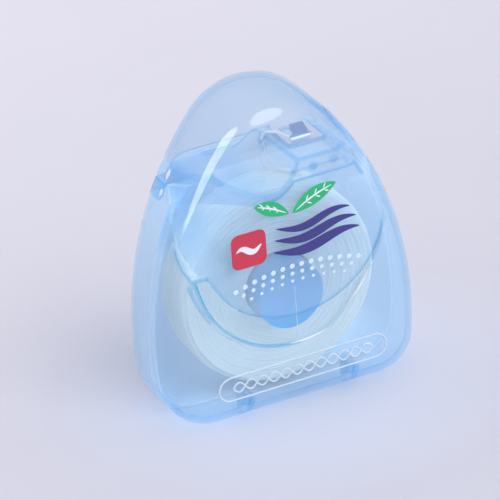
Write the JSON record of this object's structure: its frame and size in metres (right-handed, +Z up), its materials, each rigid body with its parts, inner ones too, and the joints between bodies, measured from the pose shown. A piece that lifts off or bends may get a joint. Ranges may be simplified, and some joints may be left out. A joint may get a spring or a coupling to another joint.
{
  "type": "dental floss dispenser",
  "caption": "Clear blue pocket dental floss dispenser with a side-hinged flip lid, a steel cutter on its deck and a wound floss cake that turns on a hollow post.",
  "frame": {"origin": "centre of the flat base", "axes": "+Z up, -Y towards the printed front, +X to the right seen from the front"},
  "size_m": [0.052, 0.024, 0.0624],
  "materials": {
    "clear_case": "clear blue, glossy",
    "hub": "translucent blue",
    "cutter": "bright rolled sheet",
    "floss": "waxed thread"
  },
  "bodies": {
    "case": {"front_shell": "clear_case", "back_shell": "clear_case", "deck": "clear_case", "cutter_plate": "cutter", "floss_lead": "floss"},
    "lid": {"flip_lid": "clear_case"},
    "spool": {"bobbin": "hub", "floss_core": "floss", "floss_winding": "floss"}
  },
  "joints": [
    {"name": "lid_hinge", "type": "hinge", "parent": "case", "child": "lid", "pos_m": [-0.01862, 0.0052, 0.0463], "axis": [0, -1, 0], "range_deg": [0, 150]},
    {"name": "spool_spin", "type": "hinge", "parent": "case", "child": "spool", "pos_m": [0, 0, 0.0226], "axis": [0, 1, 0], "continuous": true}
  ]
}
